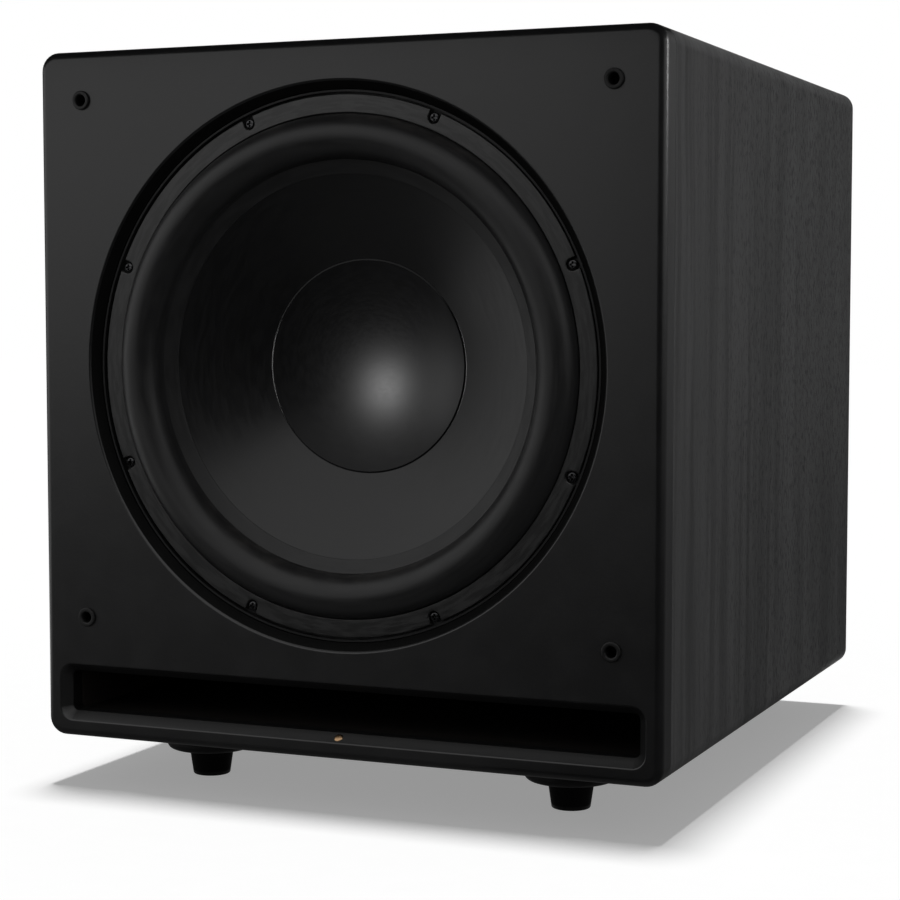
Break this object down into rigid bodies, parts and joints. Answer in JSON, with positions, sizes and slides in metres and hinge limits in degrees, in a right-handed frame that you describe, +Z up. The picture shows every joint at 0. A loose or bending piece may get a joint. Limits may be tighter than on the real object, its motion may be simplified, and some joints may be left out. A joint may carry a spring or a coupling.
{
  "type": "subwoofer",
  "caption": "Black powered subwoofer: box cabinet with a large round woofer, a slot port under it, round feet and an amplifier plate at the back.",
  "frame": {"origin": "on the floor at the middle of the bounding box, which reaches from the surround's roll in front to the heatsink's fins behind", "axes": "+Z up, the front with the woofer looks along -Y, +X is the viewer's right when facing the front"},
  "size_m": [0.482, 0.568, 0.545],
  "materials": {
    "vinyl_wrap": "black wood-grain vinyl on fibreboard",
    "black_paint": "satin black paint on fibreboard",
    "raw_fibreboard": "raw fibreboard",
    "wadding": "fibre wadding",
    "foot_plastic": "moulded black plastic",
    "foot_rubber": "firm black rubber",
    "zinc": "zinc plated",
    "socket_plastic": "black plastic",
    "bronze": "satin bronze",
    "foam": "closed-cell foam",
    "cast_frame": "black powder coat",
    "trim_rubber": "satin rubber",
    "black_screws": "black oxide",
    "surround_rubber": "satin butyl rubber",
    "cone_shell": "satin polypropylene",
    "cap_shell": "satin polypropylene",
    "spider_cloth": "varnished cotton",
    "bare_aluminium": "bare",
    "copper": "copper",
    "motor_steel": "black zinc",
    "ferrite": "ferrite",
    "boot_rubber": "rubber",
    "black_nylon": "moulded nylon",
    "wire_jacket": "insulated wire",
    "amp_finish": "black anodised",
    "circuit_board": "glass-fibre board",
    "brass_posts": "brass",
    "components": "moulded",
    "transformer_wrap": "taped winding",
    "knob_plastic": "satin black",
    "gold_contacts": "gold plated",
    "inlet_plastic": "black nylon",
    "nickel": "nickel plated",
    "fuse_glass": "glass tube",
    "light_lens": "diffused lens"
  },
  "bodies": {
    "cabinet": {"top_panel": "vinyl_wrap", "bottom_panel": "vinyl_wrap", "left_panel": "vinyl_wrap", "right_panel": "vinyl_wrap", "back_panel": "black_paint", "front_baffle": "black_paint", "inner_baffle": "raw_fibreboard", "port_shelf": "raw_fibreboard", "port_riser": "raw_fibreboard", "window_brace": "raw_fibreboard", "acoustic_lining": "wadding", "foot_bases": "foot_plastic", "foot_pads": "foot_rubber", "foot_screws": "zinc", "grille_sockets": "socket_plastic", "badge_dot": "bronze", "woofer_gasket": "foam", "basket": "cast_frame", "trim_ring": "trim_rubber", "woofer_screws": "black_screws", "surround": "surround_rubber", "spider": "spider_cloth", "top_plate": "motor_steel", "magnet_rings": "ferrite", "back_plate": "motor_steel", "magnet_boot": "boot_rubber", "terminal_block": "black_nylon", "tinsel_leads": "copper", "speaker_wires": "wire_jacket", "amp_plate": "amp_finish", "amp_gasket": "foam", "amp_screws": "black_screws", "heatsink": "amp_finish", "amp_cover": "bare_aluminium", "main_board": "circuit_board", "board_standoffs": "brass_posts", "board_parts": "components", "power_transistors": "components", "input_board": "circuit_board", "transformer": "transformer_wrap", "transformer_bolt": "zinc", "potentiometers": "black_nylon", "phono_jacks": "gold_contacts", "power_inlet": "inlet_plastic", "inlet_pins": "nickel", "rocker_frame": "inlet_plastic", "mode_switch_body": "nickel", "status_light": "light_lens", "supply_wires": "wire_jacket"},
    "cone_assembly": {"cone": "cone_shell", "dust_cap": "cap_shell", "coil_former": "bare_aluminium", "coil_winding": "copper"},
    "gain_control": {"gain_knob": "knob_plastic"},
    "crossover_control": {"crossover_knob": "knob_plastic"},
    "phase_control": {"phase_knob": "knob_plastic"},
    "power_switch": {"power_rocker": "inlet_plastic"},
    "mode_switch": {"mode_slider": "inlet_plastic"},
    "fuse_holder": {"fuse_drawer": "inlet_plastic", "fuse": "fuse_glass"}
  },
  "joints": [
    {"name": "cone_stroke", "type": "slide", "parent": "cabinet", "child": "cone_assembly", "axis": [0, -1, 0], "range_m": [-0.014, 0.014], "stiffness_N_per_m": 3000, "deforming": ["surround", "spider", "tinsel_leads"]},
    {"name": "gain_turn", "type": "hinge", "parent": "cabinet", "child": "gain_control", "pos_m": [-0.08, 0.26795, 0.393], "axis": [0, 1, 0], "range_deg": [-150, 150]},
    {"name": "crossover_turn", "type": "hinge", "parent": "cabinet", "child": "crossover_control", "pos_m": [-0.03, 0.26795, 0.393], "axis": [0, 1, 0], "range_deg": [-150, 150]},
    {"name": "phase_turn", "type": "hinge", "parent": "cabinet", "child": "phase_control", "pos_m": [0.02, 0.26795, 0.393], "axis": [0, 1, 0], "range_deg": [-150, 150]},
    {"name": "power_tilt", "type": "hinge", "parent": "cabinet", "child": "power_switch", "pos_m": [0.028, 0.26595, 0.288], "axis": [1, 0, 0], "range_deg": [-18, 0]},
    {"name": "mode_slide", "type": "slide", "parent": "cabinet", "child": "mode_switch", "axis": [1, 0, 0], "range_m": [0, 0.006]},
    {"name": "fuse_slide", "type": "slide", "parent": "cabinet", "child": "fuse_holder", "axis": [0, 1, 0], "range_m": [0, 0.017]}
  ]
}
